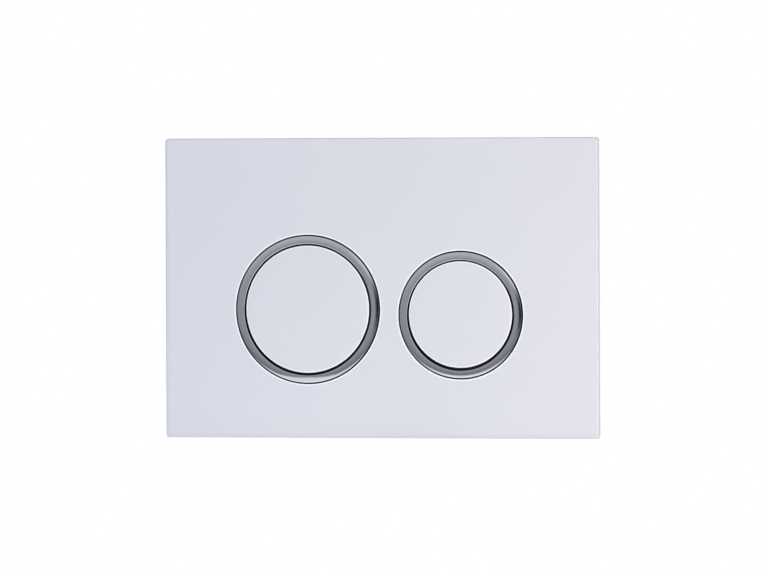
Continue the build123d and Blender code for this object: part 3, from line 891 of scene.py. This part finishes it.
def makeWorld(look):
    # The camera sees white, matt surfaces get an even light, and metal sees a grey room with a white rear wall
    world = bpy.data.worlds.new("paleStudio")
    bpy.context.scene.world = world
    world.use_nodes = True
    tree = world.node_tree
    tree.nodes.clear()
    output = tree.nodes.new("ShaderNodeOutputWorld")
    rays = tree.nodes.new("ShaderNodeLightPath")
    direction = tree.nodes.new("ShaderNodeTexCoord")
    parts = tree.nodes.new("ShaderNodeSeparateXYZ")
    tree.links.new(direction.outputs["Generated"], parts.inputs["Vector"])

    def background(colour):
        node = tree.nodes.new("ShaderNodeBackground")
        if isinstance(colour, tuple):
            node.inputs["Color"].default_value = (*colour, 1)
        else:
            tree.links.new(colour, node.inputs["Color"])
        return node.outputs["Background"]

    def choose(factor, first, second):
        mix = tree.nodes.new("ShaderNodeMixShader")
        tree.links.new(factor, mix.inputs[0])
        tree.links.new(first, mix.inputs[1])
        tree.links.new(second, mix.inputs[2])
        return mix.outputs["Shader"]

    def tinted(value):
        return tuple(value * share for share in look["tint"])

    def layer(below, factor, value):
        return mixColours(tree, factor, below, tinted(value))

    def towards(place, edge):
        # How near a direction is to a place in the room
        toPlace = tree.nodes.new("ShaderNodeVectorMath")
        toPlace.operation = "DOT_PRODUCT"
        toPlace.inputs[1].default_value = Vector(place).normalized()
        tree.links.new(direction.outputs["Generated"], toPlace.inputs[0])
        return mapValue(tree, toPlace.outputs["Value"], 0, 1, *edge)

    ramp = tree.nodes.new("ShaderNodeValToRGB")
    tree.links.new(mapValue(tree, parts.outputs["Z"], 0, 1, -1, 1), ramp.inputs["Fac"])
    for number, (height, value) in enumerate(look["room"]):
        if number < 2:
            stop = ramp.color_ramp.elements[number]
        else:
            stop = ramp.color_ramp.elements.new((1 + height) / 2)
        stop.position = (1 + height) / 2
        stop.color = (*tinted(value), 1)
    room = ramp.outputs["Color"]
    room = layer(room, mapValue(tree, parts.outputs["Z"], 0, 1, *look["floorEdge"]), look["floor"])
    room = layer(room, mapValue(tree, parts.outputs["X"], 0, 1, *look["rightEdge"]), look["rightSide"])
    room = layer(room, towards(look["darkPlace"], look["darkEdge"]), look["dark"])
    room = layer(room, towards(look["patchPlace"], look["patchEdge"]), look["patch"])
    room = layer(room, mapValue(tree, parts.outputs["Y"], 0, 1, *look["rearEdge"]), look["rearWall"])
    surface = choose(rays.outputs["Is Glossy Ray"], background(look["ambient"]), background(room))
    surface = choose(rays.outputs["Is Camera Ray"], surface, background(look["backdrop"]))
    tree.links.new(surface, output.inputs["Surface"])


floorLook = {
    "radius": 0.42, "segments": 96, "fade": (0.22, 0.41), "level": -0.25, "colour": (0.82, 0.82, 0.83),
    "roughness": 0.9,
}


def makeFloor(look):
    selectNothing()
    bpy.ops.mesh.primitive_circle_add(
        vertices=look["segments"], radius=look["radius"], fill_type="NGON", location=(0, 0, look["level"]),
    )
    floor = namePiece("paleFloor")
    material, tree, shader, place = newMaterial("paleFloor")
    shader.inputs["Base Color"].default_value = (*look["colour"], 1)
    shader.inputs["Roughness"].default_value = look["roughness"]
    distance = tree.nodes.new("ShaderNodeVectorMath")
    distance.operation = "LENGTH"
    tree.links.new(place.outputs["Object"], distance.inputs[0])
    white = tree.nodes.new("ShaderNodeEmission")  # the floor fades into the white background
    edge = tree.nodes.new("ShaderNodeMixShader")
    tree.links.new(mapValue(tree, distance.outputs["Value"], 0, 1, *look["fade"]), edge.inputs[0])
    tree.links.new(shader.outputs["BSDF"], edge.inputs[1])
    tree.links.new(white.outputs["Emission"], edge.inputs[2])
    tree.links.new(edge.outputs["Shader"], tree.nodes["Material Output"].inputs["Surface"])
    floor.data.materials.append(material)


cardLook = {
    "apex": (-0.052, -0.0725, -0.0525), "height": 0.0205, "halfWidth": 0.040, "glow": (0.665, 0.71, 0.81),
}


def makeCard(look):
    # A bright triangular card in front of the larger button, seen only in the chromed rings
    tall, wide = 1 + sin(pi / 6), cos(pi / 6)  # of a triangle in a circle of radius 1
    selectNothing()
    bpy.ops.mesh.primitive_circle_add(vertices=3, radius=1, fill_type="NGON", rotation=(pi / 2, 0, 0))
    card = namePiece("bounceCard")
    applyPlace(card)
    bpy.ops.transform.resize(
        value=(look["halfWidth"] / wide, 1, look["height"] / tall), center_override=(0, 0, 0),
    )
    x, y, z = look["apex"]
    bpy.ops.transform.translate(value=(x, y, z - look["height"] / tall))
    applyPlace(card)
    material, tree, *_ = newMaterial("bounceCard")
    glow = tree.nodes.new("ShaderNodeEmission")
    glow.inputs["Color"].default_value = (*look["glow"], 1)
    tree.links.new(glow.outputs["Emission"], tree.nodes["Material Output"].inputs["Surface"])
    card.data.materials.append(material)
    card.visible_camera = False
    card.visible_diffuse = False
    card.visible_shadow = False


makeWorld(worldLook)
makeFloor(floorLook)
placeCamera(cameraLook)
for name, look in lampLook.items():
    addLamp(name, look)
makeCard(cardLook)
bpy.context.scene.view_settings.view_transform = "Standard"
print("stage set")
